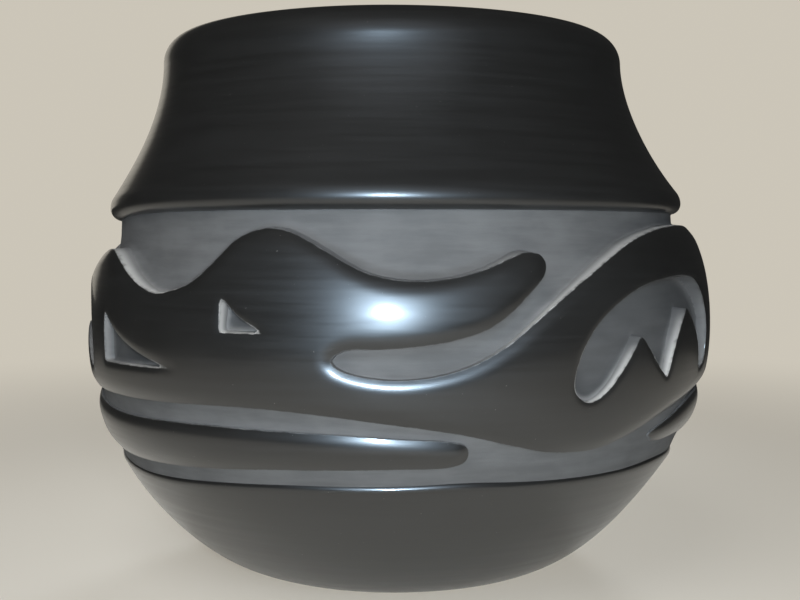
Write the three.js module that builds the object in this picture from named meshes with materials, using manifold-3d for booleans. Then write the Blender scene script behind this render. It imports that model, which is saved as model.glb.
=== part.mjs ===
// A hand-coiled blackware bowl with a band of carved relief between its polished base and its flared neck.
// Millimetres, +Z up. The origin is the middle of the flat foot. Angle 0 of the band faces -Y.
import * as THREE from 'three';
import { TessellateModifier } from 'three/addons/modifiers/TessellateModifier.js';
import { mergeVertices } from 'three/addons/utils/BufferGeometryUtils.js';
import Module from 'manifold-3d';

// Polished base and belly
const footRadius = 44;
const bellyRadius = 95;
const bellyHeight = 71.3;
const bellyFullness = 1.8; // power of the curve from foot to belly, 2 is an ellipse
const baseSetback = 3; // the base aims for a belly this much smaller, so that the carved band stands proud of it
const baseEdgeHeight = 38; // the polished base ends here in a step

// Carved band
const bandHeight = 66.6; // from the step up to the ridge
const plainStrip = 2; // plain ground under the ridge, above the ornament
const baseStep = 1;
const carveDepth = 4; // from the polished relief to the matte ground, at the belly
const straightGround = 2.6; // below the ridge the ground is upright for this height, and hollow under that
const blankDepth = 8; // the relief is cut from a sheet, this far down to the full width of its sides
const carvingLean = 1.6; // the carved sides lean out this far over that depth
const seatClearance = 0.3;

// Ridge, neck and lip
const ridgeRadius = 86.5;
const ridgeOverhang = 2.8;
const ridgeRounding = 3;
const neckRadius = 70.2; // where the flare ends and the lip begins
const neckRise = 41.8; // from the ridge
const neckFlare = 1.6; // power of the flare, 1 is a cone
const lipRise = 8.2; // from the neck
const lipRoll = 8; // the lip turns in this far on its outer side
const lipEdge = 2.4; // and this far again on its inner side
const lipEdgeDrop = 4.6;

// Inside
const wallThickness = 6;
const floorThickness = 8;
const floorRadius = 34;
const insideFullness = 2.2;

// Ornament
const archMirror = -19.5; // each side has a second arch, the first one turned over about this angle
const archRise = 4; // and raised

// Facets
const turnSegments = 48;
const profileStep = 7;
const footCrowding = 2;
const roundSteps = 4;
const outlineStep = 6;
const reliefFacet = 18; // longest edge of a facet on the relief
const tessellationRounds = 24;
const mergeDistance = 0.001;

const polishedBlack = new THREE.MeshStandardMaterial({ color: 0x141516, roughness: 0.24, metalness: 0 });
const matteGround = new THREE.MeshStandardMaterial({ color: 0x4b4b4c, roughness: 0.85, metalness: 0 });

const wasm = await Module();
wasm.setup();

const ornamentHeight = bandHeight - plainStrip;
const shoulderHeight = baseEdgeHeight + bandHeight;
const hollowHeight = shoulderHeight - straightGround;
const ridgeHeight = shoulderHeight + ridgeRounding;
const neckHeight = ridgeHeight + neckRise;
const lipHeight = neckHeight + lipRise;

// Polished outline from the foot up: a superellipse that comes to a belly's radius at the belly's height
function swelling(z, belly) {
  const drop = 1 - z / bellyHeight;
  return footRadius + (belly - footRadius) * (1 - drop ** bellyFullness) ** (1 / bellyFullness);
}
const baseRadius = (z) => swelling(z, bellyRadius - baseSetback);

// Polished face of the reliefs: the same curve to the full belly, then a parabola in to the ridge
function reliefRadius(z) {
  if (z <= bellyHeight) {
    return swelling(z, bellyRadius);
  }
  const rise = (z - bellyHeight) / (ridgeHeight - bellyHeight);
  return bellyRadius - (bellyRadius - ridgeRadius) * rise ** 2;
}

// Matte ground between the reliefs: a parabola below the belly, a hollow curve above it
const groundBellyRadius = bellyRadius - carveDepth;
const groundFootRadius = baseRadius(baseEdgeHeight) - baseStep;
const groundShoulderRadius = ridgeRadius - ridgeOverhang;
function groundRadius(z) {
  if (z <= bellyHeight) {
    const drop = (bellyHeight - z) / (bellyHeight - baseEdgeHeight);
    return groundBellyRadius - (groundBellyRadius - groundFootRadius) * drop ** 2;
  }
  const rise = Math.min((z - bellyHeight) / (hollowHeight - bellyHeight), 1);
  const fullness = (1 + Math.cos(Math.PI * rise)) / 2;
  return groundShoulderRadius + (groundBellyRadius - groundShoulderRadius) * fullness;
}

// Inside of the bowl: a superellipse up from the floor, then parallel to the ground
function insideRadius(z) {
  if (z <= bellyHeight) {
    const drop = (bellyHeight - z) / (bellyHeight - floorThickness);
    const swell = (1 - drop ** insideFullness) ** (1 / insideFullness);
    return floorRadius + (groundBellyRadius - wallThickness - floorRadius) * swell;
  }
  return groundRadius(z) - wallThickness;
}

// The neck's outside and inside share one flare
function flare(z, foot, top) {
  const rise = (z - foot.y) / (top.y - foot.y);
  return top.x + (foot.x - top.x) * (1 - rise) ** neckFlare;
}
const ridge = new THREE.Vector2(ridgeRadius, ridgeHeight);
const neckTop = new THREE.Vector2(neckRadius, neckHeight);
const innerShoulder = new THREE.Vector2(insideRadius(shoulderHeight), shoulderHeight);
const innerLip = new THREE.Vector2(neckRadius - lipRoll - lipEdge, lipHeight - lipEdgeDrop);
const neckOutside = (z) => flare(z, ridge, neckTop);
const neckInside = (z) => flare(z, innerShoulder, innerLip);

// Points of a radius formula between two heights, about one to every profile step.
// A crowding above 1 draws them together at the first height, where the outline turns fastest
function run(radius, from, to, crowding = 1) {
  const count = Math.max(1, Math.round(crowding * Math.abs(to - from) / profileStep));
  return Array.from({ length: count + 1 }, (_, i) => {
    const z = from + (to - from) * (i / count) ** crowding;
    return new THREE.Vector2(radius(z), z);
  });
}

// The ground's outline up to a height, with a point where the hollow ends
function groundRun(radius, top) {
  return [...run(radius, baseEdgeHeight, hollowHeight), ...run(radius, hollowHeight, top)];
}

// Quarter of an ellipse about a centre, from one angle to another
function quarter(centre, across, up, from, to) {
  return Array.from({ length: roundSteps + 1 }, (_, i) => {
    const angle = from + (to - from) * i / roundSteps;
    return new THREE.Vector2(centre.x + across * Math.cos(angle), centre.y + up * Math.sin(angle));
  });
}

// Outline turned about +Z, without repeated points; one that stays off the axis closes on itself
function turned(points) {
  const clean = points.filter((p, i) => i === 0 || p.distanceTo(points[i - 1]) > mergeDistance);
  if (clean[0].x > 0) {
    clean.push(clean[0].clone());
  }
  return new THREE.LatheGeometry(clean, turnSegments).rotateX(Math.PI / 2);
}

// A closed mesh as a solid, with its shared corners merged and empty triangles dropped
function toSolid(geometry) {
  const bare = new THREE.BufferGeometry();
  bare.setAttribute('position', geometry.getAttribute('position'));
  bare.setIndex(geometry.index);
  const merged = mergeVertices(bare, mergeDistance);
  const corners = Array.from(merged.index.array);
  const triVerts = [];
  for (let i = 0; i < corners.length; i += 3) {
    const [a, b, c] = corners.slice(i, i + 3);
    if (a !== b && b !== c && c !== a) {
      triVerts.push(a, b, c);
    }
  }
  return new wasm.Manifold(new wasm.Mesh({
    numProp: 3,
    vertProperties: new Float32Array(merged.getAttribute('position').array),
    triVerts: new Uint32Array(triVerts),
  }));
}

function toGeometry(solid) {
  const mesh = solid.getMesh();
  const geometry = new THREE.BufferGeometry();
  geometry.setAttribute('position', new THREE.BufferAttribute(mesh.vertProperties, mesh.numProp));
  geometry.setIndex(new THREE.BufferAttribute(mesh.triVerts, 1));
  geometry.computeVertexNormals();
  return geometry;
}

// Foot disc: the flat slab of clay that the bowl is raised from
function footDisc() {
  const outside = run(baseRadius, 0, floorThickness, footCrowding);
  return turned([new THREE.Vector2(0, 0), ...outside, new THREE.Vector2(0, floorThickness)]);
}

// Lower wall: the polished lower bowl, up to the step under the band
function lowerWall() {
  const outside = run(baseRadius, floorThickness, baseEdgeHeight);
  const inside = run(insideRadius, floorThickness, baseEdgeHeight, footCrowding).reverse();
  return turned([...outside, ...inside]);
}

// Carved wall: the matte ground that the reliefs stand on
function carvedWall() {
  const inside = run(insideRadius, shoulderHeight, baseEdgeHeight);
  return turned([...groundRun(groundRadius, shoulderHeight), ...inside]);
}

// Neck collar: the rounded ridge that overhangs the band, and the flare above it
function neckCollar() {
  const ridgeCentre = new THREE.Vector2(ridgeRadius - ridgeRounding, ridgeHeight);
  const rounding = quarter(ridgeCentre, ridgeRounding, ridgeRounding, -Math.PI / 2, 0);
  const outside = run(neckOutside, ridgeHeight, neckHeight);
  const inside = run(neckInside, neckHeight, shoulderHeight);
  return turned([innerShoulder, ...rounding, ...outside, ...inside]);
}

// Rim coil: the lip, rolled inwards to a rounded edge
function rimCoil() {
  const crest = neckRadius - lipRoll;
  const outer = quarter(new THREE.Vector2(crest, neckHeight), lipRoll, lipRise, 0, Math.PI / 2);
  const inner = quarter(new THREE.Vector2(crest, innerLip.y), lipEdge, lipEdgeDrop, Math.PI / 2, Math.PI);
  return turned([...outer, ...inner, new THREE.Vector2(neckInside(neckHeight), neckHeight)]);
}

// The ornament is drawn in degrees round the bowl and hundredths of its own height.
// It is laid out on a flat plan, as the band would look opened out and seen from above:
// a drawn point lies at its angle, further out the lower it is
function onPlan([angle, height]) {
  const z = baseEdgeHeight + ornamentHeight * height / 100;
  const reach = bellyRadius + bellyHeight - z;
  const turn = THREE.MathUtils.degToRad(angle);
  return new THREE.Vector3(reach * Math.sin(turn), -reach * Math.cos(turn), 0);
}

// A smooth run through drawn points, as points on the plan
function drawn(points, closed) {
  const curve = new THREE.CatmullRomCurve3(points.map(onPlan), closed, 'centripetal');
  const count = Math.max(1, Math.round(curve.getLength() / outlineStep));
  const spaced = curve.getSpacedPoints(count).map((p) => new THREE.Vector2(p.x, p.y));
  return closed ? spaced.slice(0, -1) : spaced;
}

// Runs joined at their sharp corners into one closed outline
function cornered(runs) {
  return runs.flatMap((points) => drawn(points, false).slice(0, -1));
}

// The same points half a turn further round
function opposite(points) {
  return points.map(([angle, height]) => [angle + 180, height]);
}

// Serpents: one wavy ring round the bowl. Its upper edge rises and falls, runs out into a long plume
// and turns back under it in a hooked groove
const serpentTop = [
  [-112, 98], [-104.5, 97], [-98, 95], [-91, 92], [-83, 89], [-75, 88], [-67, 88.5], [-60.5, 88], [-55, 82.5],
  [-50.5, 77], [-45.5, 72.5], [-42.5, 70.5], [-39, 71.5], [-34.5, 75],
  [-30, 84], [-26.5, 91.5], [-20.5, 96.5], [-13, 90], [-6, 81], [3, 77], [13, 81], [19.5, 87],
  [22.5, 86.5], [23, 82], [20, 72.5], [13, 60], [3, 54.5], [-7.5, 53.5], [-11, 47], [-7, 41], [0, 39],
  [8, 42], [16, 51.5], [24, 67], [32.5, 81], [41.5, 91], [52.5, 96.5], [60, 97.5],
];
const serpentBottom = [
  [-96, 30.5], [-84, 28], [-59, 27], [-30, 28.5], [-10, 26.5], [10, 19.5], [20, 13.5], [31, 10],
  [41.5, 14], [53.5, 24], [65.5, 31],
];

// Windows cut through the serpents to the ground, each as runs from corner to corner
const largeTriangle = [
  [[-58, 41], [-36, 42]],
  [[-36, 42], [-42.5, 45], [-48.5, 49.5], [-53.5, 55], [-58, 62.5]],
  [[-58, 62.5], [-58, 41]],
];
const smallTriangle = [
  [[-28, 57], [-20, 57]],
  [[-20, 57], [-24, 63], [-28, 71]],
  [[-28, 71], [-28, 57]],
];
const toothedArch = [
  [[63, 36.5], [66.5, 38], [67.5, 51], [66, 65], [61.5, 74.5], [55, 77], [49.5, 76.5], [42.5, 74],
    [36.5, 68.5], [32, 61], [29, 51.5], [27.5, 41], [28, 33.5], [31, 29.5], [33.5, 33.5], [40.5, 55]],
  [[40.5, 55], [45.5, 42], [48.5, 35.5]],
  [[48.5, 35.5], [51, 54], [55.5, 64]],
  [[55.5, 64], [60.5, 51], [63, 36.5]],
];
const mirrored = ([angle, height]) => [2 * archMirror - angle, height + 100 * archRise / ornamentHeight];
const mirroredArch = toothedArch.map((points) => points.map(mirrored));

// Lower bars: long tongues under the serpents, blunt at one end and tapered at the other
const lowerBar = [
  [-131, 12], [-128.5, 14.5], [-123.5, 18], [-114.5, 23], [-98, 25], [-78, 22.5], [-59.5, 19.5], [-30, 20.5],
  [-10, 19.5], [0, 18], [9, 16], [11, 11], [9, 6.5], [0, 6], [-20, 5.5], [-39.5, 4], [-59.5, 4],
  [-80, 5.5], [-100, 7.5], [-116, 8], [-128.5, 8.5],
];

// The ground, grown by the clearance, cuts the back of each relief to the wall
function groundCutter() {
  const face = groundRun((z) => groundRadius(z) + seatClearance, ridgeHeight);
  return toSolid(turned([new THREE.Vector2(0, baseEdgeHeight), ...face, new THREE.Vector2(0, ridgeHeight)]));
}

// A shape on the plan, extruded, wraps round the bowl. Its given level lies on the polished face
function wrapped(shape, extrusion, level) {
  const sheet = new THREE.ExtrudeGeometry(shape, extrusion);
  const facets = new TessellateModifier(reliefFacet, tessellationRounds).modify(sheet);
  const place = facets.getAttribute('position');
  for (let i = 0; i < place.count; i += 1) {
    const [x, y] = [place.getX(i), place.getY(i)];
    const reach = Math.hypot(x, y);
    const z = bellyHeight + bellyRadius - reach;
    const r = reliefRadius(z) + place.getZ(i) - level;
    place.setXYZ(i, r * x / reach, r * y / reach, z);
  }
  return toSolid(facets);
}

// A relief has its drawn outline at the polished face and widens below it
function blank(shape) {
  const leaning = { depth: blankDepth, bevelThickness: blankDepth, bevelSize: carvingLean, bevelSegments: 1 };
  return wrapped(shape, leaning, 2 * blankDepth);
}

// A window goes straight down through the face
function windowCutter(outline) {
  return wrapped(new THREE.Shape(outline), { depth: 2 * blankDepth, bevelEnabled: false }, blankDepth);
}

const cutter = groundCutter();
function relief(shape, windows) {
  let solid = blank(shape).subtract(cutter);
  for (const outline of windows) {
    solid = solid.subtract(windowCutter(outline));
  }
  return toGeometry(solid);
}

function serpentRelief() {
  const ring = new THREE.Shape(drawn([...serpentBottom, ...opposite(serpentBottom)], true));
  ring.holes = [new THREE.Path(drawn([...serpentTop, ...opposite(serpentTop)], true))];
  const windows = [largeTriangle, smallTriangle, toothedArch, mirroredArch];
  const bothSides = [...windows, ...windows.map((runs) => runs.map(opposite))];
  return relief(ring, bothSides.map(cornered));
}

function barRelief(points) {
  return relief(new THREE.Shape(drawn(points, true)), []);
}

const bowl = new THREE.Group();
function addPiece(name, geometry, material) {
  const piece = new THREE.Mesh(geometry, material);
  piece.name = name;
  bowl.add(piece);
}
addPiece('foot_disc', footDisc(), polishedBlack);
addPiece('lower_wall', lowerWall(), polishedBlack);
addPiece('carved_wall', carvedWall(), matteGround);
addPiece('neck_collar', neckCollar(), polishedBlack);
addPiece('rim_coil', rimCoil(), polishedBlack);
addPiece('serpent_relief', serpentRelief(), polishedBlack);
addPiece('lower_bar_front', barRelief(lowerBar), polishedBlack);
addPiece('lower_bar_back', barRelief(opposite(lowerBar)), polishedBlack);

export default bowl;
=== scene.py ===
import bpy
import numpy as np
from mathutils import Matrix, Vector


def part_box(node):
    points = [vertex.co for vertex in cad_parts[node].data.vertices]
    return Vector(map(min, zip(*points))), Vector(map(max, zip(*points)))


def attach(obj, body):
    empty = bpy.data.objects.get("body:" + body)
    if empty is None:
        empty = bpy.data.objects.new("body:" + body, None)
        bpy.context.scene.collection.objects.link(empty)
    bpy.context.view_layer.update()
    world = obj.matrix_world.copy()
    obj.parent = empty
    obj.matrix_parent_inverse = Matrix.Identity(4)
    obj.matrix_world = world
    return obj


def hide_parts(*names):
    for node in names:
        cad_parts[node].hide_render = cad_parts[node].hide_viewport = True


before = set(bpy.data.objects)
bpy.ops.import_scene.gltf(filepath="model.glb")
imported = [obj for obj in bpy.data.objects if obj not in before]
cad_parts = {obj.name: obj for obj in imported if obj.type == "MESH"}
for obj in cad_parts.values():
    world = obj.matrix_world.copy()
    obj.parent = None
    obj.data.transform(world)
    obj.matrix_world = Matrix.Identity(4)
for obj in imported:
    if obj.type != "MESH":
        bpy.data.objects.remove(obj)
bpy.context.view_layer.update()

mm = 0.001  # shapes are worked out in millimetres, meshes are in metres
fullTurn = 2 * np.pi
wallColumns = 480  # points round the bowl on the plain walls
carvedColumns = 760  # and on the carved band
curveSteps = 6  # points on each span of a smooth curve
repeats = (-180, 0, 180)  # degrees; the ornament comes again every half turn


def topOf(node):  # greatest height of a frame node
    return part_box(node)[1].z / mm


def reachOf(node):  # greatest half width of a frame node
    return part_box(node)[1].x / mm


# the bowl's own outline, shared by every piece, in millimetres
bowl = {
    "footRadius": 47.5,
    "bellyRadius": reachOf("serpent_relief"),
    "bellyHeight": 71.3,
    "bandFoot": 44,  # radius at which the band's own curve would come down to the floor
    "bellyFullness": 1.8,  # power of that curve, 2 is an ellipse
    "baseFullness": 1.5,  # the base is slacker
    "baseReach": 2.8,  # and aims for a belly this much wider
    "baseEdge": topOf("lower_wall"),
    "shoulder": topOf("carved_wall"),
    "jointDrop": 6,  # base and carved wall meet this far below the base's edge, behind its lip
    "ridgeRadius": reachOf("neck_collar"),
    "ridgeRise": 3,  # the reliefs' curve comes in to that radius this far over the shoulder
    "carveDepth": 4,  # polished face to matte ground, at the belly
    "baseStep": 1.3,  # the ground starts this far behind the base's outline
    "groundFullness": 2.5,  # power of the ground's curve from belly to base
    "ridgeOverhang": 2.8,
    "straightGround": 2.6,  # upright stretch of the ground under the ridge
    "wall": 6,
    "floorTop": topOf("foot_disc"),
    "floorRadius": 34,
    "insideFullness": 2.2,
}
bowl["ridgeHeight"] = bowl["shoulder"] + bowl["ridgeRise"]
bowl["jointHeight"] = bowl["baseEdge"] - bowl["jointDrop"]


def swelling(z, foot, belly, fullness):
    # superellipse from a foot's radius on the floor to a belly's radius at the belly's height
    drop = np.clip(1 - z / bowl["bellyHeight"], 0, 1)
    swell = (1 - drop ** fullness) ** (1 / fullness)
    return foot + (belly - foot) * swell


def baseRadius(z):
    return swelling(z, bowl["footRadius"], bowl["bellyRadius"] + bowl["baseReach"], bowl["baseFullness"])


def reliefRadius(z):
    # the swelling up to the belly, then a parabola in to the ridge
    rise = np.clip((z - bowl["bellyHeight"]) / (bowl["ridgeHeight"] - bowl["bellyHeight"]), 0, None)
    full = swelling(z, bowl["bandFoot"], bowl["bellyRadius"], bowl["bellyFullness"])
    return full - (bowl["bellyRadius"] - bowl["ridgeRadius"]) * rise ** 2


groundBelly = bowl["bellyRadius"] - bowl["carveDepth"]
groundFoot = baseRadius(bowl["baseEdge"]) - bowl["baseStep"]
groundShoulder = bowl["ridgeRadius"] - bowl["ridgeOverhang"]


def groundRadius(z):
    # power curve below the belly, half a cosine hollow above it
    drop = np.clip((bowl["bellyHeight"] - z) / (bowl["bellyHeight"] - bowl["baseEdge"]), 0, None)
    hollow = bowl["shoulder"] - bowl["straightGround"] - bowl["bellyHeight"]
    rise = np.clip((z - bowl["bellyHeight"]) / hollow, 0, 1)
    above = groundShoulder + (groundBelly - groundShoulder) * (1 + np.cos(np.pi * rise)) / 2
    return above - (groundBelly - groundFoot) * drop ** bowl["groundFullness"]


def insideRadius(z):
    # superellipse up from the floor to the belly, then one wall's thickness behind the ground
    drop = np.clip((bowl["bellyHeight"] - z) / (bowl["bellyHeight"] - bowl["floorTop"]), 0, 1)
    swell = (1 - drop ** bowl["insideFullness"]) ** (1 / bowl["insideFullness"])
    low = bowl["floorRadius"] + (groundBelly - bowl["wall"] - bowl["floorRadius"]) * swell
    return np.where(z < bowl["bellyHeight"], low, groundRadius(z) - bowl["wall"])


# hand building leaves the walls a little out of round and out of line
handmade = {
    "waves": 20,
    "depth": 0.16,
    "mostRound": 9,
    "mostUp": 0.07,
    "seed": 11,
    # how far the axis wanders to the right at these heights
    "lean": [(0, -0.3), (22, -0.7), (40, 0.2), (60, 0.9), (88, 0.9), (106, 0), (116, -0.5), (130, -0.7),
             (160, -1.2)],
}


def wobble(theta, z):
    # sum of sine waves round and up the bowl, with fixed random phases, slower waves deeper
    rng = np.random.default_rng(handmade["seed"])
    total = 0
    for _ in range(handmade["waves"]):
        around = rng.integers(1, handmade["mostRound"])
        up = rng.uniform(-handmade["mostUp"], handmade["mostUp"])
        total = total + np.sin(around * theta + up * z + rng.uniform(0, fullTurn)) / around
    return handmade["depth"] * total


def placed(radius, theta, z):
    # points at a radius, angle and height, on the leaning axis; angle 0 faces the front, -Y
    lean = np.interp(z, *smoothRun(handmade["lean"]).T)
    r = radius + wobble(theta, z)
    return np.stack([r * np.sin(theta) + lean, -r * np.cos(theta), z + 0 * r], -1)


def smoothRun(points):
    # centripetal Catmull-Rom curve through the points, as rows of points
    p = np.asarray(points, float)
    p = np.vstack([2 * p[0] - p[1], p, 2 * p[-1] - p[-2]])
    gaps = np.sqrt(np.linalg.norm(np.diff(p, axis=0), axis=1))
    knots = np.concatenate([[0], np.cumsum(gaps)])[:, None, None]
    t0, t1, t2, t3 = knots[:-3], knots[1:-2], knots[2:-1], knots[3:]
    p0, p1, p2, p3 = (p[i:len(p) - 3 + i, None] for i in range(4))
    t = t1 + (t2 - t1) * np.linspace(0, 1, curveSteps, endpoint=False)[None, :, None]
    a1 = (p0 * (t1 - t) + p1 * (t - t0)) / (t1 - t0)
    a2 = (p1 * (t2 - t) + p2 * (t - t1)) / (t2 - t1)
    a3 = (p2 * (t3 - t) + p3 * (t - t2)) / (t3 - t2)
    b1 = (a1 * (t2 - t) + a2 * (t - t0)) / (t2 - t0)
    b2 = (a2 * (t3 - t) + a3 * (t - t1)) / (t3 - t1)
    curve = (b1 * (t2 - t) + b2 * (t - t1)) / (t2 - t1)
    return np.vstack([curve.reshape(-1, 2), p[-2]])


def arc(centre, across, up, start, end, count):
    # part of an ellipse about a centre, from one angle in degrees to another
    angle = np.radians(np.linspace(start, end, count))
    return centre[0] + across * np.cos(angle), centre[1] + up * np.sin(angle)


def closedMesh(name, points, faces):
    # faces are arrays of corner numbers; they are all turned round if the solid came out inside out
    fans = np.concatenate([np.stack([f[:, 0], f[:, i], f[:, i + 1]], 1)
                           for f in faces for i in range(1, f.shape[1] - 1)])
    a, b, c = points[fans[:, 0]], points[fans[:, 1]], points[fans[:, 2]]
    if np.einsum("ij,ij->i", a, np.cross(b, c)).sum() < 0:
        faces = [f[:, ::-1] for f in faces]
    mesh = bpy.data.meshes.new(name)
    mesh.from_pydata((points * mm).tolist(), [], [face for f in faces for face in f.tolist()])
    mesh.shade_smooth()
    piece = bpy.data.objects.new(name, mesh)
    bpy.context.scene.collection.objects.link(piece)
    return piece


def ringQuads(rows, columns, closed):
    # quads of a grid that is joined to itself round the axis, and along the profile if it is closed
    row = np.arange(rows if closed else rows - 1)[:, None] * columns
    after = (row + columns) % (rows * columns)
    here = np.arange(columns)[None]
    there = (here + 1) % columns
    return np.stack([row + here, row + there, after + there, after + here], -1).reshape(-1, 4)


def profileRows(columns, *runs):
    # runs of (radius, height), each for every column or the same all round, stacked into rows
    wide = [[np.broadcast_to(np.asarray(v, float).reshape(len(v), -1), (len(v), columns)) for v in run]
            for run in runs]
    return np.vstack([run[0] for run in wide]), np.vstack([run[1] for run in wide])


# hidden joints: a row held close to each corner for clean shading, and some spread between them
seam = {"hold": 0.04, "spread": (0.2, 0.8), "rows": 5}


def tuck(start, end, count=seam["rows"]):
    # straight run between two points
    share = np.concatenate([[seam["hold"]], np.linspace(*seam["spread"], count), [1 - seam["hold"]]])[:, None]
    return start[0] + (end[0] - start[0]) * share, start[1] + (end[1] - start[1]) * share


def turnedPiece(name, runs, insideFrom, columns=wallColumns, poles=None):
    # a closed profile carried round the axis; the rows from insideFrom on are the inside of the bowl
    theta = np.linspace(-np.pi, np.pi, columns, endpoint=False)
    radius, z = profileRows(columns, *runs)
    grid = placed(radius, theta, z)
    rows = len(grid)
    points = grid.reshape(-1, 3)
    faces = [ringQuads(rows, columns, closed=poles is None)]
    if poles is not None:
        here = np.arange(columns)
        there = (here + 1) % columns
        last = (rows - 1) * columns
        first, end = len(points), len(points) + 1
        middle = placed(np.zeros(2), np.zeros(2), np.array(poles, float))
        points = np.vstack([points, middle])
        faces += [np.stack([there, here, 0 * here + first], 1),
                  np.stack([last + here, last + there, 0 * here + end], 1)]
    piece = closedMesh(name, points, faces)
    inner = np.zeros(len(piece.data.polygons), int)
    inner[insideFrom * columns:len(faces[0])] = 1
    if poles is not None:
        inner[-columns:] = 1
    piece.data.polygons.foreach_set("material_index", inner)
    return piece


def addNumber(piece, name, values):  # one number for each point, for the material
    layer = piece.data.attributes.new(name, "FLOAT", "POINT")
    layer.data.foreach_set("value", np.asarray(values, np.float32).ravel())


# polished base: flat foot, full curve, and a lip that rolls in to the carved wall
base = {
    "footRows": [6, 16, 28, 39, 45],
    "outsideRows": 64,
    "footCrowding": 1.9,  # rows draw together at the foot, where the outline turns fastest
    "lipRound": 2.6,  # half width of the lip's round, which follows on from the outline
    "lipRise": 2.2,  # and half height
    "lipFrom": -26,  # degrees
    "lipRows": 16,
    "lipSeen": 1.1,  # the ground comes out of it this far over its middle
    "tuckedIn": 1.6,  # it ends this far behind the carved wall's face
    "slopeShares": [0.85, 0.4],  # rows on the hidden way down from the lip to the joint
    "insideRows": 46,
    "floorRows": [26, 16, 7],
    # height of the lip's seen edge round one half of the bowl, degrees and millimetres
    "lip": [(-76, 34.8), (-60, 34.3), (-47, 34.4), (-31, 35.9), (-19, 36.9), (0, 37.3), (11, 37.8),
            (22, 37.3), (45, 36.9), (57, 37.1), (70, 36.6), (86, 35.6)],
}


def halfTurns(drawn, theta):
    # values drawn at some degrees, joined by a smooth curve and repeated every half turn
    drawn = np.array(drawn, float)
    line = smoothRun(np.vstack([drawn + [shift, 0] for shift in (-360, -180, 0, 180, 360)]))
    return np.interp(np.degrees(theta), line[:, 0], line[:, 1])


def makeBase():
    theta = np.linspace(-np.pi, np.pi, wallColumns, endpoint=False)
    rollR, rollZ = arc((0, 0), base["lipRound"], base["lipRise"], base["lipFrom"], 90, base["lipRows"])
    lip = halfTurns(base["lip"], theta) - base["lipSeen"]
    turn = lip + rollZ[0]
    lipCentre = baseRadius(turn) - rollR[0]
    foot = np.array(base["footRows"])
    share = np.linspace(0, 1, base["outsideRows"])[:, None] ** base["footCrowding"]
    outsideZ = share * turn
    joint = bowl["jointHeight"]
    seat = (groundRadius(joint) - base["tuckedIn"], joint)
    slopeZ = joint + (lip + base["lipRise"] - joint) * np.array(base["slopeShares"])[:, None]
    slopeR = groundRadius(slopeZ) - base["tuckedIn"]
    drop = np.linspace(1, 0, base["insideRows"])[1:] ** base["footCrowding"]
    insideZ = bowl["floorTop"] + (joint - bowl["floorTop"]) * drop
    floor = np.array(base["floorRows"])
    runs = [
        (foot, 0 * foot),
        (baseRadius(outsideZ), outsideZ),
        (lipCentre + rollR[1:, None], lip + rollZ[1:, None]),
        (slopeR, slopeZ),
        tuck(seat, (insideRadius(joint), joint)),
        ([insideRadius(joint)], [joint]),
        (insideRadius(insideZ), insideZ),
        (floor, 0 * floor + bowl["floorTop"]),
    ]
    insideFrom = sum(len(run[0]) for run in runs[:5])
    return turnedPiece("polishedBase", runs, insideFrom, poles=(0, bowl["floorTop"]))


# carved band: all reliefs are drawn on one grid of degrees round the bowl and millimetres up it
band = {
    "rows": 104,
    "insideRows": 14,
    "jointRows": 2,
    "planRadius": 92,  # mean radius, for distances along the band
    "pastEdge": 0.25,  # roundings go on outside their edge for this share of their run
    "clearOfEnds": 0.1,  # outlines cross the sides of the grid's cells at least this share from their ends
    "leastSlope": 0.3,  # of the distances at a rim, where its side is set off from it
    "sink": 1.2,  # the reliefs' sides go on this far into the ground
    "hollowReach": 4.5,  # coves are full in hollows of about this size and fade out round points
    "hollowShare": (0.34, 0.54),  # share of relief about a rim's point for no cove and for a full one
    "coveSoft": 0.25,
    "narrowShare": (0.3, 0.55),  # share of relief about a window's floor, from wide to narrow
    "paintedShadeRun": 1.2,  # painted shade darkens the windows' floors over this distance from their sides
    "dustAndLightFacing": (0.75, 0.1),  # dust and painted light on slopes that face up or sideways, not down
    "facingBlur": 1,
    "scrapeDepth": 0.1,  # scraping marks left in the ground
    "scrapeLong": 9,
    "scrapeHigh": 1.5,
    "seed": 5,
}
bandTheta = np.linspace(-np.pi, np.pi, carvedColumns, endpoint=False)
bandZ = np.linspace(bowl["jointHeight"], bowl["shoulder"], band["rows"])
bandCell = bandZ[1] - bandZ[0]  # height of one row


def onBand(points):  # degrees and heights, as millimetres along and up the band
    return np.asarray(points, float) * [np.radians(1) * band["planRadius"], 1]


def distanceInside(u, v, outline):
    # least distance from every grid point to a closed run of points, positive inside it
    least = np.full(np.broadcast(u, v).shape, np.inf)
    inside = np.zeros(least.shape, bool)
    tiny = 1e-12  # stands in for the length of an empty step
    for (ax, ay), (bx, by) in zip(outline, np.roll(outline, -1, axis=0)):
        lx, ly = bx - ax, by - ay
        along = np.clip(((u - ax) * lx + (v - ay) * ly) / max(lx * lx + ly * ly, tiny), 0, 1)
        least = np.minimum(least, (u - ax - along * lx) ** 2 + (v - ay - along * ly) ** 2)
        if ay != by:
            inside ^= ((ay > v) != (by > v)) & (u < ax + lx * (v - ay) / ly)
    return np.where(inside, 1, -1) * np.sqrt(least)


def shifted(points, degrees):
    return np.asarray(points, float) + [degrees, 0]


def overHalfTurn(distance):
    # the band repeats every half turn: the half that faces the front, carried on round the back
    quarter = carvedColumns // 4
    return np.roll(np.tile(distance, 2), -quarter, axis=1)


def blurred(field, along, up):
    # field smoothed by a Gaussian, through its Fourier transform; it wraps round the bowl
    pad = band["rows"]
    tall = np.pad(field, ((pad, pad), (0, 0)), mode="edge")
    fu = np.fft.fftfreq(tall.shape[1], fullTurn * band["planRadius"] / tall.shape[1])
    fv = np.fft.fftfreq(tall.shape[0], bandCell)
    smoothing = np.exp(-2 * np.pi ** 2 * ((along * fu) ** 2 + (up * fv[:, None]) ** 2))
    return np.fft.ifft2(np.fft.fft2(tall) * smoothing).real[pad:-pad]


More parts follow.
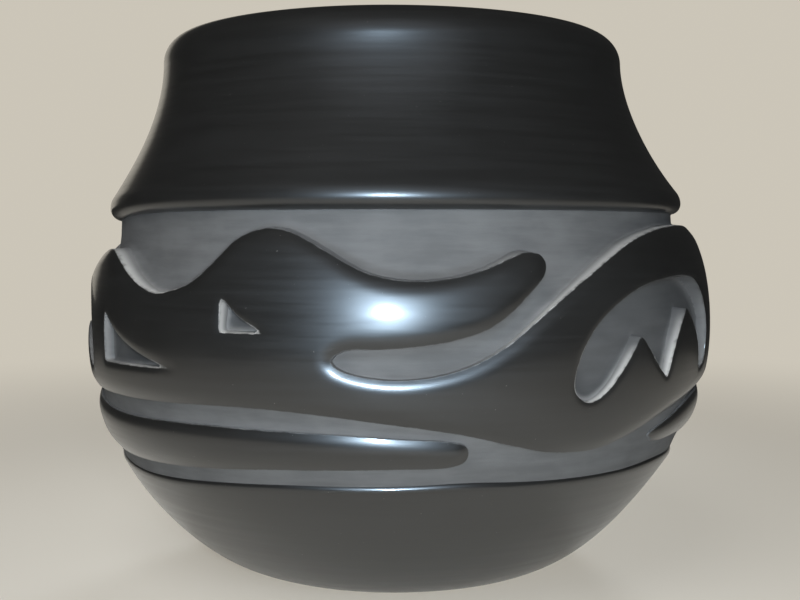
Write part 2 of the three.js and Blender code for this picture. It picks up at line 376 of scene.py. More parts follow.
# serpents: one wavy ring, whose upper edge runs out into a plume and turns back in a hooked groove
serpent = {
    "top": [
        (-112, 101.1), (-104.5, 99.6), (-98, 96.6), (-91, 92.6), (-83, 89.4), (-75, 89.3), (-67, 92.9),
        (-60.4, 94.7), (-55, 91.3), (-50.3, 87.7), (-45.5, 84.8), (-42.3, 83.7), (-39, 84.4), (-34.7, 86.4),
        (-29.8, 92.3), (-26.8, 96.8), (-23.8, 99.2), (-20.3, 100.2), (-16.9, 99.2), (-12.9, 96.3),
        (-6, 90.3), (-2, 88.3), (3, 87.6), (7.9, 88.3), (12.9, 90.3), (16.9, 92.8), (19.8, 94.3),
        (22.3, 93.8), (23.1, 91.3), (22.3, 88.3), (19.8, 84.5), (16.9, 80.3), (12.9, 76.1), (7.9, 73.6),
        (3, 72.3), (-3, 71.6), (-7.4, 71.4), (-9.3, 70.3), (-10.1, 68.5), (-9, 66.7), (-6.5, 65.3),
        (-3, 64.4), (0, 64.2), (4, 64.7), (7.9, 66), (11.9, 68.4), (15.9, 72.1), (19.8, 76.8),
        (23.8, 81.6), (27.8, 85.8), (32.7, 90.3), (37.7, 94.3), (41.7, 96.8), (46.6, 98.8), (52.6, 100.3),
        (60, 101.1),
    ],
    "bottom": [
        (-96, 56.8), (-84, 56), (-61.6, 55.5), (-39.7, 56), (-29.8, 56.5), (-19.8, 56.3), (-9.9, 55.1),
        (0, 53.1), (9.9, 50.6), (19.8, 46.7), (24.8, 45), (30.8, 44.3), (35.7, 44.7), (41.7, 47.1),
        (53.6, 52.7), (65.6, 55.8), (75, 56.6),
    ],
    "drawnTo": 200,  # degrees; the edges are followed this far both ways
    "windowReach": 23,  # windows further than this past the drawn half are left out
    # windows cut through to the ground, each as runs from corner to corner
    "largeTriangle": [
        [(-58.1, 64.4), (-36.2, 65)],
        [(-36.2, 65), (-42.7, 67), (-48.7, 69.9), (-53.6, 73.4), (-58.1, 78.4)],
        [(-58.1, 78.4), (-58.1, 64.4)],
    ],
    "smallTriangle": [
        [(-27.8, 74.9), (-19.8, 74.9)],
        [(-19.8, 74.9), (-24.2, 78.6), (-27.8, 83.8)],
        [(-27.8, 83.8), (-27.8, 74.9)],
    ],
    "toothedArch": [
        [(63.1, 61.5), (66.4, 62.5), (67.6, 71), (66, 80), (61.6, 86.1), (55.5, 87.7), (49.6, 87.3),
         (42.7, 85.8), (36.7, 82.4), (31.8, 77.4), (28.8, 71.4), (27.3, 64.5), (27.8, 59.6), (30.6, 57.2),
         (33.7, 59.5), (37.5, 66.5), (40.7, 73.4)],
        [(40.7, 73.4), (45.4, 65.4), (48.7, 61)],
        [(48.7, 61), (51.4, 72), (55.6, 79.4)],
        [(55.6, 79.4), (60.4, 71), (63.1, 61.5)],
    ],
    "archMirror": -19.5,  # the second arch is the first one turned over about this angle
    "archRise": 4,
    "archLowered": [(-80, 4), (-70, 0)],  # and comes down again to the left, to stay under the upper edge
    "crownRun": 4.5,  # the polished face falls off a little to its edges over this distance
    "crownDrop": 0.35,
    "edgeRun": 3.4,  # and turns down along them over this distance
    "edgeDrop": 0.9,
    "windowRun": 0.9,  # the windows are cut crisper
    "windowDrop": 0.35,
    "windowSoft": 0.6,  # with their corners this much rounded
    "sideRun": 0.5,  # the carved sides come down over this distance
    "edgeShare": 0.5,  # the ground comes up them in a cove, to these shares of their height
    "windowShare": 0.3,
    "edgeCove": 1.7,  # over about these distances
    "windowCove": 1.3,
    # how much dust and painted light the upper edge and the windows take round one half of the bowl, degrees
    # and share
    "wornAndLit": [(-70, 0.5), (-60, 1), (-42, 1), (-36, 0.5), (-28, 0.1), (10, 0.1), (24, 0.8), (60, 0.9),
             (80, 0.5)],
    "windowWornAndLit": [(-70, 0.3), (-54, 0.35), (-48, 0.7), (-38, 0.8), (63, 0.8), (68, 0.1), (80, 0.1)],
}

# lower bars: long tongues, blunt at one end and tapered at the other
bar = {
    "outline": [
        (-130.9, 45.6), (-128.4, 47.3), (-123.4, 49.5), (-114.5, 53), (-98, 54.2), (-78, 52.3),
        (-59.6, 50.5), (-29.8, 51.1), (-9.9, 50.6), (0, 49.7), (7.6, 48.9), (10.4, 47.9), (11.3, 45.6),
        (10.5, 43.2), (8, 42.2), (0, 41.9), (-19.8, 40.8), (-34, 39.3), (-47, 38.2), (-60, 37.8),
        (-80, 38.4), (-100, 40.8), (-116, 42.8), (-128.4, 43.4),
    ],
    "frontSpan": (-150, 30),  # degrees; the other bar is half a turn further round
    "crownRun": 3,
    "crownDrop": 0.15,
    "edgeRun": 5.5,
    "edgeDrop": 1.5,
    "sideRun": 0.5,
    "edgeShare": 0.5,
    "edgeCove": 1,
}


def serpentDistance(u, v):
    # least distance inside both edges, and least distance outside every window
    far = 400  # well below and above the band
    sides = []
    for edge, beyond in ((serpent["top"], -far), (serpent["bottom"], far)):
        line = onBand(smoothRun(np.vstack([shifted(edge, s) for s in repeats])))
        line = line[np.abs(line[:, 0]) < onBand([(serpent["drawnTo"], 0)])[0, 0]]
        corners = [(line[-1, 0], beyond), (line[0, 0], beyond)]
        sides.append(distanceInside(u, v, np.vstack([line, corners])))
    flip = [2 * serpent["archMirror"], serpent["archRise"]]
    mirrored = [np.asarray(run) * [-1, 1] + flip for run in serpent["toothedArch"]]
    for run in mirrored:
        run[:, 1] -= np.interp(run[:, 0], *np.array(serpent["archLowered"], float).T)
    cuts = []
    for window in (serpent["largeTriangle"], serpent["smallTriangle"], serpent["toothedArch"], mirrored):
        outline = np.vstack([smoothRun(run)[:-1] for run in window])
        for s in repeats:
            line = onBand(shifted(outline, s))
            if np.abs(line[:, 0]).min() < np.abs(u).max() + serpent["windowReach"]:
                cuts.append(-distanceInside(u, v, line))
    return np.minimum.reduce(sides), np.minimum.reduce(cuts)


def barDistance(u, v):
    ring = bar["outline"] + bar["outline"][:1]
    line = smoothRun(ring)[:-1]
    return np.maximum.reduce([distanceInside(u, v, onBand(shifted(line, s))) for s in repeats])


def bandFields():
    # distances inside the serpents' edges, outside their windows and inside the bars, all round
    quarter = carvedColumns // 4
    u = bandTheta[quarter:3 * quarter][None] * band["planRadius"]
    v = bandZ[:, None]
    edges, windows, bars = (overHalfTurn(field) for field in (*serpentDistance(u, v), barDistance(u, v)))
    return edges, blurred(windows, serpent["windowSoft"], serpent["windowSoft"]), bars


def turnDown(distance, run, drop):
    # parabola down to an edge, blurred by one row
    within = np.clip(distance, -run * band["pastEdge"], run)
    return blurred(drop * (1 - within / run) ** 2, bandCell, bandCell)


def filledShare(distance, reach):
    # share of the band about each point that is inside an outline, from the blurred outline
    filled = np.clip(0.5 + distance / bandCell, 0, 1)
    return blurred(filled, reach, reach)


def crown(distance, settings):
    # broad fall towards the edges
    return 2 * settings["crownDrop"] * (1 - filledShare(distance, settings["crownRun"]))


def cove(distance, settings, kind):
    # exponential curve beside an outline, up to a share of its carved side, rounded where it gets there
    side = reliefRadius(bandZ) - groundRadius(bandZ) - settings[kind + "Drop"] - settings["crownDrop"]
    soft = band["coveSoft"]
    outside = soft * np.logaddexp(0, -distance / soft - 1)
    rise = np.exp(-outside / settings[kind + "Cove"])
    return side[:, None] * rise * settings[kind + "Share"], rise


def coveStrength(relief):
    # 0 round points of the relief to 1 in hollows, from the share of relief about each point
    none, full = band["hollowShare"]
    return np.clip((filledShare(relief, band["hollowReach"]) - none) / (full - none), 0, 1)


def dustAndLightShare(edgeField, windowField, strength):
    # dust and painted light: the coves' strength, less where the relief's distance grows upwards and so its
    # side faces down
    none, full = band["dustAndLightFacing"]
    reliefField = np.minimum(edgeField, windowField)
    facing = blurred(np.gradient(reliefField, bandZ, axis=0), band["facingBlur"], band["facingBlur"])
    byWindow = np.abs(windowField) < np.abs(edgeField)
    stretches = [halfTurns(serpent[kind], bandTheta) for kind in ("windowWornAndLit", "wornAndLit")]
    return strength * np.clip((facing - none) / (full - none), 0, 1) * np.where(byWindow, *stretches)


def cutCells(inside):
    # triangles over the inside of an outline; its crossings of the cells' sides are numbered after the
    # grid's points, first those on the way round the bowl and then those on the way up
    size = inside.size
    here = np.arange(size).reshape(inside.shape)
    right = np.roll(here, -1, axis=1)
    ring = [here[:-1], here[:-1] + size, right[:-1], right[:-1] + 2 * size,
            right[1:], here[1:] + size, here[1:], here[:-1] + 2 * size]
    ring = np.stack(ring, -1).reshape(-1, 8)
    corner = inside.ravel()[ring[:, ::2]]
    kept = np.empty(ring.shape, bool)
    kept[:, ::2] = corner
    kept[:, 1::2] = corner != np.roll(corner, -1, axis=1)
    ring = np.take_along_axis(ring, np.argsort(~kept, axis=1, kind="stable"), axis=1)
    count = kept.sum(axis=1)
    return np.concatenate([ring[count > k][:, [0, k - 1, k]] for k in range(2, 6)])


def cutPoints(values, distance):
    # values on the grid's points, then where the outline crosses the cells' sides, kept clear of their ends
    rows = [values.reshape(-1, values.shape[-1])]
    clear = band["clearOfEnds"]
    turned, lifted = np.roll(values, -1, axis=1), np.concatenate([values[1:], values[-1:]])
    turned[:, -1, 0] += fullTurn
    farTurned, farLifted = np.roll(distance, -1, axis=1), np.concatenate([distance[1:], distance[-1:]])
    for other, far in ((turned, farTurned), (lifted, farLifted)):
        gap = distance - far
        share = np.clip(distance / np.where(gap == 0, 1, gap), clear, 1 - clear)[..., None]
        rows.append((values + (other - values) * share).reshape(-1, values.shape[-1]))
    return np.concatenate(rows)


def creaseRims(piece, onRim, isBack):
    # the edges along the front's rim and the back's are shaded sharp
    ends = np.empty(2 * len(piece.data.edges), int)
    piece.data.edges.foreach_get("vertices", ends)
    a, b = ends.reshape(-1, 2).T
    sharp = piece.data.attributes.new("sharp_edge", "BOOLEAN", "EDGE")
    sharp.data.foreach_set("value", onRim[a] & onRim[b] & (isBack[a] == isBack[b]))


def reliefPiece(name, edges, settings, wornAndLit, keep=True):
    # a closed sheet over the inside of an outline: polished front, carved sides, and a back behind the
    # ground; edges are fields of distance with the run and drop of their rounding
    distance = np.minimum.reduce([edge[0] for edge in edges])
    fall = crown(distance, settings) + np.maximum.reduce([turnDown(*edge) for edge in edges])
    along = fullTurn * band["planRadius"] / carvedColumns
    slopeU = (np.roll(distance, -1, axis=1) - np.roll(distance, 1, axis=1)) / (2 * along)
    slopeV = np.gradient(distance, bandCell, axis=0)
    theta, z = np.meshgrid(bandTheta, bandZ)
    fields = np.stack([theta, z, fall, slopeU, slopeV, wornAndLit], -1)
    theta, z, fall, slopeU, slopeV, wearAndLight = cutPoints(fields, distance).T
    onRim = np.arange(len(theta)) >= distance.size
    slope = np.maximum(np.hypot(slopeU, slopeV), band["leastSlope"])
    foot = np.where(onRim, settings["sideRun"] / slope, 0)
    front = placed(reliefRadius(z) - fall, theta, z)
    theta, z = theta - foot * slopeU / band["planRadius"], z - foot * slopeV
    back = placed(groundRadius(z) - band["sink"], theta, z)
    cells = cutCells((distance > 0) & keep)
    size = len(front)
    rims = np.concatenate([cells[:, [0, 1]], cells[:, [1, 2]], cells[:, [2, 0]]])
    single = ~np.isin(rims[:, 0] * size + rims[:, 1], rims[:, 1] * size + rims[:, 0])
    start, end = rims[single].T
    sides = np.concatenate([np.stack([end, start, start + size], 1),
                            np.stack([end, start + size, end + size], 1)])
    faces = np.concatenate([cells, cells[:, ::-1] + size, sides])
    used, faces = np.unique(faces, return_inverse=True)
    piece = closedMesh(name, np.concatenate([front, back])[used], [faces.reshape(-1, 3)])
    depth = np.concatenate([distance.ravel(), np.zeros(size - distance.size), np.full(size, -1.0)])
    addNumber(piece, "edge", depth[used])
    # dust and painted light for the carved sides
    addNumber(piece, "wearAndLight", np.tile(wearAndLight, 2)[used])
    creaseRims(piece, used % size >= distance.size, used >= size)
    return piece


def makeSerpents(edgeField, windowField, wornAndLit):
    edges = [(edgeField, serpent["edgeRun"], serpent["edgeDrop"]),
             (windowField, serpent["windowRun"], serpent["windowDrop"])]
    return reliefPiece("serpentRelief", edges, serpent, wornAndLit)


def makeBars(field, wornAndLit):
    start, end = np.radians(bar["frontSpan"])
    atFront = (bandTheta > start) & (bandTheta < end)
    edges = [(field, bar["edgeRun"], bar["edgeDrop"])]
    return [reliefPiece(name, edges, bar, wornAndLit, keep)
            for name, keep in (("lowerBarFront", atFront), ("lowerBarBack", ~atFront))]


def windowPaintedShade(edgeField, windowField):
    # painted shade on the windows' floors, darkest in the narrow ones
    none, full = band["narrowShare"]
    around = filledShare(np.minimum(edgeField, windowField), band["hollowReach"])
    narrow = np.clip((around - none) / (full - none), 0, 1)
    return np.clip(-windowField / band["paintedShadeRun"], 0, 1) * (1 + narrow) / 2


def makeGround(edgeField, windowField, barField, strength, wornAndLit):
    # the carved wall, with scraping marks and a cove along every relief; its top goes into the neck
    rng = np.random.default_rng(band["seed"])
    scrape = rng.standard_normal((band["rows"], carvedColumns))
    scrape = blurred(scrape, band["scrapeLong"], band["scrapeHigh"])
    scrape *= band["scrapeDepth"] / scrape.std()
    scrape[[0, -1]] = 0
    byWindow, byEdge = cove(windowField, serpent, "window"), cove(edgeField, serpent, "edge")
    # share of dust and painted light along the coves; the same share wears the scraping smooth
    coves, wearAndLight = np.where(windowField < 0, byWindow, byEdge) * [strength, wornAndLit]
    coves = np.maximum(coves, cove(barField, bar, "edge")[0] * strength)
    shoulder, joint = bowl["shoulder"], bowl["jointHeight"]
    rise = np.clip((bandZ[:, None] - shoulder) / neck["sagReach"] + 1, 0, 1)
    faceZ = bandZ[:, None] + (ridgeSag(bandTheta) + neck["overlap"]) * rise
    faceR = groundRadius(np.minimum(faceZ, shoulder)) + scrape * (1 - wearAndLight) + coves
    insideZ = np.linspace(shoulder, joint, band["insideRows"])
    runs = [
        (faceR, faceZ),
        tuck((faceR[-1], faceZ[-1]), (insideRadius(shoulder), shoulder), band["jointRows"]),
        (insideRadius(insideZ), insideZ),
        tuck((insideRadius(joint), joint), (faceR[0], joint), band["jointRows"]),
    ]
    insideFrom = len(faceZ) + len(runs[1][0])
    piece = turnedPiece("carvedGround", runs, insideFrom, carvedColumns)
    # numbers for the matte material: dust and painted light, and painted shade in the windows' floors
    for layer, values in (("wearAndLight", wearAndLight), ("paintedShade", windowPaintedShade(edgeField, windowField))):
        everywhere = np.zeros((len(piece.data.vertices) // carvedColumns, carvedColumns))
        everywhere[:len(faceZ)] = values
        addNumber(piece, layer, everywhere)
    return piece


# neck: rounded ridge over the band, flared wall, and a lip rolled in to the mouth
neck = {
    "rimReach": reachOf("rim_coil"),
    "rimInset": 0.8,  # the wall's top is this far inside that
    "topHeight": topOf("neck_collar"),
    "flare": 1.75,  # power of the flare, 1 is a cone
    "lipHeight": topOf("rim_coil"),
    "lipRoll": 8,
    "rollFrom": 4,  # degrees; the wall has the first row of the roll
    "rollRows": 18,
    "lipEdge": 2.4,
    "lipEdgeDrop": 4.6,
    "edgeFrom": 98,  # degrees; the roll has the first row of the edge
    "edgeRows": 12,
    "ridgeUnder": 3.2,  # radii of the ridge's round below and above its nose
    "ridgeOver": 5.5,
    "ridgeTilt": 34,  # degrees; the upper round ends here and the flare starts
    "ridgeRows": 9,
    "ridgeSeat": 0.8,  # its underside starts this far behind the ground's face
    "sagDepth": 2,  # the ridge dips at one place
    "sagAngle": -85,
    "sagWidth": 25,
    "sagReach": 7,  # the ground below gives way over this height
    "overlap": 0.3,
    "wallRows": 64,
    "insideRows": 50,
}
neck["topRadius"] = neck["rimReach"] - neck["rimInset"]


def ridgeSag(theta):
    # bell curve round the ridge
    away = (np.degrees(theta) - neck["sagAngle"] + 180) % 360 - 180
    return -neck["sagDepth"] * np.exp(-(away / neck["sagWidth"]) ** 2)


def flared(z, low, high):
    # radius between two points (radius, height), along a power curve that ends upright
    rise = np.clip((z - low[1]) / (high[1] - low[1]), 0, 1)
    return high[0] + (low[0] - high[0]) * (1 - rise) ** neck["flare"]


def makeNeck():
    theta = np.linspace(-np.pi, np.pi, wallColumns, endpoint=False)
    shoulder = bowl["shoulder"]
    sag = ridgeSag(theta)
    under, over = neck["ridgeUnder"], neck["ridgeOver"]
    nose = shoulder + under
    underR, underZ = arc((bowl["ridgeRadius"] - under, nose), under, under, -90, 0, neck["ridgeRows"])
    upper = (bowl["ridgeRadius"] - over, nose)
    overR, overZ = arc(upper, over, over, 0, neck["ridgeTilt"], neck["ridgeRows"])
    ridgeR = np.append(underR, overR[1:])
    ridgeZ = np.append(underZ, overZ[1:])[:, None] + sag
    share = np.linspace(0, 1, neck["wallRows"])[1:, None]
    wallZ = ridgeZ[-1] + (neck["topHeight"] - ridgeZ[-1]) * share
    crest = neck["topRadius"] - neck["lipRoll"]
    edgeZ = neck["lipHeight"] - neck["lipEdgeDrop"]
    lipRise = neck["lipHeight"] - neck["topHeight"]
    roll = arc((crest, neck["topHeight"]), neck["lipRoll"], lipRise, neck["rollFrom"], 90, neck["rollRows"])
    turnIn = arc((crest, edgeZ), neck["lipEdge"], neck["lipEdgeDrop"],
                 neck["edgeFrom"], 180, neck["edgeRows"])
    insideZ = np.linspace(edgeZ, shoulder, neck["insideRows"])[1:]
    start, mouth = (insideRadius(shoulder), shoulder), (crest - neck["lipEdge"], edgeZ)
    seat = groundShoulder - neck["ridgeSeat"]
    runs = [
        tuck(start, (seat, shoulder + sag)),
        ([seat], (shoulder + sag)[None]),
        (ridgeR, ridgeZ),
        (flared(wallZ, (ridgeR[-1], ridgeZ[-1]), (neck["topRadius"], neck["topHeight"])), wallZ),
        roll,
        turnIn,
        (flared(insideZ, start, mouth), insideZ),
    ]
    insideFrom = sum(len(run[0]) for run in runs[:6])
    return turnedPiece("flaredNeck", runs, insideFrom)


class Wire:
    # one output of a node tree; sums and products of wires and numbers add Math nodes
    def __init__(self, tree, socket=None):
        self.tree = tree
        self.socket = socket

    def node(self, kind, settings, inputs, output=0):
        # any node: its settings first, then the values or links of its sockets
        made = self.tree.nodes.new(kind)
        for name, value in settings.items():
            setattr(made, name, value)
        for name, value in inputs.items():
            if isinstance(value, Wire):
                self.tree.links.new(value.socket, made.inputs[name])
            else:
                made.inputs[name].default_value = value
        return Wire(self.tree, made.outputs[output] if made.outputs else None)

    def maths(self, operation, first, second):
        return self.node("ShaderNodeMath", {"operation": operation}, {0: first, 1: second})

    def __add__(self, other):
        return self.maths("ADD", self, other)

    def __radd__(self, other):
        return self.maths("ADD", other, self)

    def __sub__(self, other):
        return self.maths("SUBTRACT", self, other)

    def __rsub__(self, other):
        return self.maths("SUBTRACT", other, self)

    def __mul__(self, other):
        return self.maths("MULTIPLY", self, other)

    def __rmul__(self, other):
        return self.maths("MULTIPLY", other, self)

    def between(self, low, high):  # smooth step from 0 at low to 1 at high
        return self.node("ShaderNodeMapRange", {"interpolation_type": "SMOOTHSTEP"},
                         {"Value": self, "From Min": low, "From Max": high})

    def colours(self, first, second):  # first colour where this is 0, second where it is 1
        return self.node("ShaderNodeMix", {"data_type": "RGBA"}, {0: self, 6: first, 7: second}, 2)

    def blend(self, first, second):  # the same for numbers
        return self.node("ShaderNodeMix", {"data_type": "FLOAT"}, {0: self, 2: first, 3: second})


def newMaterial(name):
    material = bpy.data.materials.new(name)
    material.use_nodes = True
    material.node_tree.nodes.clear()
    return material, Wire(material.node_tree)


def stretched(wire, scale):  # Object coordinates, scaled along each axis
    place = wire.node("ShaderNodeTexCoord", {}, {}, "Object")
    return wire.node("ShaderNodeMapping", {}, {"Vector": place, "Scale": scale})


def noise(wire, scale, detail=3, rough=0.5):
    place = stretched(wire, scale)
    return wire.node("ShaderNodeTexNoise", {},
                     {"Vector": place, "Scale": 1, "Detail": detail, "Roughness": rough})


def number(wire, name):  # one of a piece's own numbers
    return wire.node("ShaderNodeAttribute", {"attribute_name": name}, {}, "Fac")


def bumped(wire, height, distance):
    return wire.node("ShaderNodeBump", {}, {"Height": height, "Strength": 1, "Distance": distance})


def rayIs(wire, kind):
    return wire.node("ShaderNodeLightPath", {}, {}, "Is " + kind + " Ray")


def surface(wire, inputs):
    shader = wire.node("ShaderNodeBsdfPrincipled", {}, inputs)
    wire.node("ShaderNodeOutputMaterial", {}, {"Surface": shader})


# polished slip: smoke-black, stone-burnished in strokes round the bowl
polish = {
    "dark": (0.0115, 0.0115, 0.0112, 1),
    "light": (0.0148, 0.0148, 0.0145, 1),
    "speck": (0.16, 0.155, 0.15, 1),
    "stroke": (26, 26, 620),  # burnishing strokes, per metre
    "cloud": (34, 34, 60),
    "strokeShare": 0.6,  # in its tone, clouds make up the rest
    "tone": (0.3, 0.7),
    "dust": (1500, 1500, 1500),
    "dustAbove": (0.79, 0.82),
    "dustShare": 0.6,
    "roughLow": 0.3,
    "roughHigh": 0.39,
    "coat": 0.68,
    "coatRough": 0.1,
    "shine": 0.6,  # strength of its broad reflections, 0.5 is plain
    "strokeBump": 1.8e-05,
    "ragged": (500, 500, 500),  # it ends raggedly by the carved edges
    "raggedBy": 0.5,
    "edge": (0.1, 0.5),  # between these distances from them
    "sideTop": (-0.55, -0.12),  # the upper part of a side, which runs from 0 at the edge to -1
    "sideDustAndLight": (0.75, 0.15),  # dust and painted light there, and all over the side
}

# matte slip: the carved ground and the sides of the reliefs
matte = {
    "dark": (0.08, 0.081, 0.082, 1),
    "light": (0.112, 0.114, 0.116, 1),
    # dust and painted light on the sides and coves that face up or sideways
    "dustyAndLit": (0.46, 0.46, 0.45, 1),
    # painted shade in the windows' floors
    "paintedShadeColour": (0.034, 0.0345, 0.035, 1),
    "brush": (55, 55, 420),
    "cloud": (70, 70, 110),
    "brushShare": 0.45,
    "tone": (0.32, 0.66),
    "ragged": (420, 420, 420),  # the dust and painted light have a ragged edge
    "raggedBy": 0.3,
    # the dust and painted light show above this much wear, up to this share
    "dustAbove": (0.25, 0.95),
    "dustShare": 0.22,
    "paintedShadeShare": 0.8,
    "grain": (2600, 2600, 2600),
    "grainShare": 0.4,
    "rough": 0.8,
    "grainBump": 0.00006,
}


def matteColour(wire):
    brush = noise(wire, matte["brush"], detail=4, rough=0.6)
    cloud = noise(wire, matte["cloud"])
    tone = brush * matte["brushShare"] + cloud * (1 - matte["brushShare"])
    return tone.between(*matte["tone"]).colours(matte["dark"], matte["light"])


def makePolished(name, carvedSides):
    material, wire = newMaterial(name)
    stroke = noise(wire, polish["stroke"], detail=4, rough=0.55)
    cloud = noise(wire, polish["cloud"])
    mixed = stroke * polish["strokeShare"] + cloud * (1 - polish["strokeShare"])
    tone = mixed.between(*polish["tone"])
    speck = noise(wire, polish["dust"], detail=1).between(*polish["dustAbove"])
    colour = tone.colours(polish["dark"], polish["light"])
    colour = (speck * polish["dustShare"]).colours(colour, polish["speck"])
    rough = tone.blend(polish["roughLow"], polish["roughHigh"])
    bump = bumped(wire, stroke, polish["strokeBump"])
    coat = polish["coat"]
    if carvedSides:
        edge = number(wire, "edge")
        ragged = edge + noise(wire, polish["ragged"], detail=2) * polish["raggedBy"]
        shine = ragged.between(*polish["edge"])
        # the carved sides take dust and painted light, most at their top
        atTop, allOver = polish["sideDustAndLight"]
        dust = number(wire, "wearAndLight") * (edge.between(*polish["sideTop"]) * atTop + allOver)
        side = dust.colours(matteColour(wire), matte["dustyAndLit"])
        colour = shine.colours(side, colour)
        rough = shine.blend(matte["rough"], rough)
        coat = shine * polish["coat"]
    surface(wire, {"Base Color": colour, "Roughness": rough, "Normal": bump, "Coat Weight": coat,
                   "Coat Roughness": polish["coatRough"], "Specular IOR Level": polish["shine"]})
    return material


def makeMatte():
    material, wire = newMaterial("carvedMatte")
    by = matte["raggedBy"]
    # dust and painted light by the reliefs' sides
    ragged = number(wire, "wearAndLight") + noise(wire, matte["ragged"], detail=2) * by - by / 2
    dust = ragged.between(*matte["dustAbove"]) * matte["dustShare"]
    # painted shade on the windows' floors
    paintedShade = number(wire, "paintedShade") * matte["paintedShadeShare"]
    colour = dust.colours(paintedShade.colours(matteColour(wire), matte["paintedShadeColour"]), matte["dustyAndLit"])
    grain = noise(wire, matte["grain"], detail=2)
    brush = noise(wire, matte["brush"], detail=4, rough=0.6)
    bump = bumped(wire, grain * matte["grainShare"] + brush, matte["grainBump"])
    surface(wire, {"Base Color": colour, "Roughness": matte["rough"], "Normal": bump})
    return material


# inside: scraped smooth and slipped, but hardly burnished
inside = {
    "dark": (0.014, 0.014, 0.0135, 1),
    "light": (0.034, 0.034, 0.033, 1),
    "wipe": (22, 22, 260),
    "tone": (0.3, 0.7),
    "roughLow": 0.42,
    "roughHigh": 0.62,
    "wipeBump": 0.00012,
}


def makeInside():
    material, wire = newMaterial("wipedInside")
    wipe = noise(wire, inside["wipe"], detail=5, rough=0.6)
    colour = wipe.between(*inside["tone"]).colours(inside["dark"], inside["light"])
    rough = wipe.blend(inside["roughLow"], inside["roughHigh"])
    bump = bumped(wire, wipe, inside["wipeBump"])
    surface(wire, {"Base Color": colour, "Roughness": rough, "Normal": bump})
    return material


# studio: pale floor and surround, small lamps by the camera, a broad one overhead and a weak one behind
studio = {
    "floorRadius": 6,
    "floorSides": 96,
    "floorColour": (0.79, 0.78, 0.74, 1),
    "floorPale": 0.55,  # share of the surround's colour that the camera sees in the floor
    "floorMirrored": 0.5,  # and how much of that the polish sees
    "floorFade": (0.2, 0.65),  # metres from the axis; the floor takes the surround's colour between these
    "surround": (0.6, 0.56, 0.48, 1),
    "dim": (0.022, 0.022, 0.021, 1),  # what the polish reflects away from the pale backdrop
    "dimAbove": (0.2, 0.5),  # the backdrop ends between these heights, as parts of straight up
    "backdropWay": (-0.2, 0.98),  # it stands behind and a little to the left
    "backdropEdge": (0.87, 0.94),  # and ends between these cosines to that way
    "panel": (0.33, 0.34, 0.36, 1),  # soft panel above and behind the camera
    "panelWay": (0, -0.94, 0.34),
    "panelEdge": (0.72, 0.99),
    # by the camera, one lamp lights the clay almost white and another shows cooler in the polish
    "flash": {"place": (0.03, -0.4, 0.105), "size": 0.06, "power": 0.3, "aim": (0, 0, 0.075),
              "colour": (0.93, 0.97, 1), "spread": 85, "lights": True, "mirrored": False},
    "glint": {"place": (-0.02, -0.4, 0.128), "size": 0.035, "power": 0.43, "aim": (0, 0, 0.075),
              "colour": (0.6, 0.8, 1), "spread": 85, "lights": False, "mirrored": True},
    "overhead": {"place": (-0.3, -0.42, 0.75), "size": 0.7, "power": 4, "aim": (0, 0, 0.05),
                 "colour": (1, 0.97, 0.93), "spread": 180, "lights": True, "mirrored": False},
    "rear": {"place": (0.1, 0.55, 0.14), "size": 0.12, "power": 0.35, "aim": (0, 0, 0.1),
             "colour": (0.95, 0.98, 1), "spread": 50, "lights": True, "mirrored": False},
}


def makeFloor():
    angle = np.linspace(0, fullTurn, studio["floorSides"], endpoint=False)
    points = studio["floorRadius"] * np.stack([np.cos(angle), np.sin(angle), 0 * angle], 1)
    mesh = bpy.data.meshes.new("floor")
    mesh.from_pydata(points.tolist(), [], [list(range(len(angle)))])
    floor = bpy.data.objects.new("floor", mesh)
    bpy.context.scene.collection.objects.link(floor)
    material, wire = newMaterial("paleFloor")
    matteFloor = wire.node("ShaderNodeBsdfDiffuse", {}, {"Color": studio["floorColour"]})
    seen = rayIs(wire, "Camera")
    mirrored = rayIs(wire, "Glossy") * studio["floorMirrored"]
    far = seen.colours(studio["dim"], studio["surround"])
    beyond = wire.node("ShaderNodeEmission", {}, {"Color": far, "Strength": 1})
    paler = wire.node("ShaderNodeEmission", {}, {"Color": studio["surround"], "Strength": 1})
    pale = (seen + mirrored) * studio["floorPale"]
    near = wire.node("ShaderNodeMixShader", {}, {0: pale, 1: matteFloor, 2: paler})
    place = wire.node("ShaderNodeTexCoord", {}, {}, "Object")
    away = wire.node("ShaderNodeVectorMath", {"operation": "LENGTH"}, {0: place}, "Value")
    fade = away.between(*studio["floorFade"])
    shown = wire.node("ShaderNodeMixShader", {}, {0: fade, 1: near, 2: beyond})
    wire.node("ShaderNodeOutputMaterial", {}, {"Surface": shown})
    mesh.materials.append(material)


def makeSurround():
    # pale backdrop and soft panel in dim surroundings; the camera sees the pale colour everywhere
    world = bpy.data.worlds.new("surround")
    bpy.context.scene.world = world
    world.use_nodes = True
    world.node_tree.nodes.clear()
    wire = Wire(world.node_tree)
    direction = wire.node("ShaderNodeTexCoord", {}, {}, "Generated")
    x, y, z = (wire.node("ShaderNodeSeparateXYZ", {}, {"Vector": direction}, axis) for axis in "XYZ")
    wayX, wayY = studio["backdropWay"]
    pale = (x * wayX + y * wayY).between(*studio["backdropEdge"]) * (1 - z.between(*studio["dimAbove"]))
    panelX, panelY, panelZ = studio["panelWay"]
    panel = (x * panelX + y * panelY + z * panelZ).between(*studio["panelEdge"])
    graded = pale.colours(panel.colours(studio["dim"], studio["panel"]), studio["surround"])
    seen = rayIs(wire, "Camera")
    shown = seen.colours(graded, studio["surround"])
    light = wire.node("ShaderNodeBackground", {}, {"Color": shown, "Strength": 1})
    wire.node("ShaderNodeOutputWorld", {}, {"Surface": light})


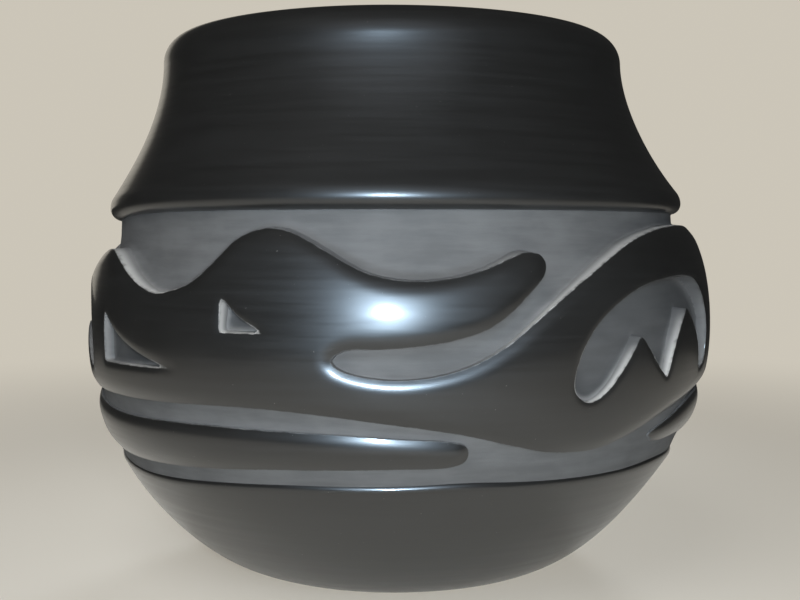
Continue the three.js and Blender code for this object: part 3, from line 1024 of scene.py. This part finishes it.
def makeLamp(name, lamp):
    light = bpy.data.lights.new(name, "AREA")
    light.shape = "DISK"
    light.size = lamp["size"]
    light.energy = lamp["power"]
    light.color = lamp["colour"]
    light.spread = np.radians(lamp["spread"])
    place, aim = np.array(lamp["place"]), np.array(lamp["aim"])
    holder = bpy.data.objects.new(name, light)
    bpy.context.scene.collection.objects.link(holder)
    holder.location = place
    holder.visible_diffuse = lamp["lights"]
    holder.visible_glossy = lamp["mirrored"]
    holder.rotation_euler = Vector(aim - place).to_track_quat("-Z", "Y").to_euler()


# camera: fitted to the outline of the photographed bowl
view = {
    "place": (0, -0.3637, 0.09814),
    "downDegrees": 3.141,
    "focalPixels": 1160.5,
    "framePixels": 800,
    "axisPixel": 395.5,
    "sensor": 36,
    "clipStart": 0.01,
}


def makeCamera():
    camera = bpy.data.cameras.new("camera")
    camera.sensor_width = view["sensor"]
    camera.lens = view["focalPixels"] / view["framePixels"] * view["sensor"]
    camera.shift_x = (view["framePixels"] / 2 - view["axisPixel"]) / view["framePixels"]
    camera.clip_start = view["clipStart"]
    holder = bpy.data.objects.new("camera", camera)
    bpy.context.scene.collection.objects.link(holder)
    holder.location = view["place"]
    holder.rotation_euler = (np.radians(90 - view["downDegrees"]), 0, 0)
    bpy.context.scene.camera = holder


def finishPiece(piece, materials, slot, *nodes):
    for material in materials:
        piece.data.materials.append(material)
    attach(piece, "root")
    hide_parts(*nodes)
    print(piece.name, len(piece.data.polygons), "faces")


edgeField, windowField, barField = bandFields()
relief = np.maximum(np.minimum(edgeField, windowField), barField)
strength = coveStrength(relief)
# dust and painted light by the reliefs' sides
wornAndLit = dustAndLightShare(edgeField, windowField, strength)
print("band drawn")
polishedPlain = makePolished("burnishedSlip", carvedSides=False)
polishedCarved = makePolished("burnishedRelief", carvedSides=True)
carvedMatte = makeMatte()
wipedInside = makeInside()
barFront, barBack = makeBars(barField, 0 * wornAndLit)
finishPiece(makeBase(), [polishedPlain, wipedInside], "polished_slip", "foot_disc", "lower_wall")
ground = makeGround(edgeField, windowField, barField, strength, wornAndLit)
finishPiece(ground, [carvedMatte, wipedInside], "carved_ground", "carved_wall")
finishPiece(makeNeck(), [polishedPlain, wipedInside], "polished_slip", "neck_collar", "rim_coil")
finishPiece(makeSerpents(edgeField, windowField, wornAndLit), [polishedCarved], "polished_slip", "serpent_relief")
finishPiece(barFront, [polishedCarved], "polished_slip", "lower_bar_front")
finishPiece(barBack, [polishedCarved], "polished_slip", "lower_bar_back")

makeFloor()
makeSurround()
for lamp in ("flash", "glint", "overhead", "rear"):
    makeLamp(lamp, studio[lamp])
makeCamera()
bpy.context.scene.view_settings.view_transform = "Standard"
print("studio ready")
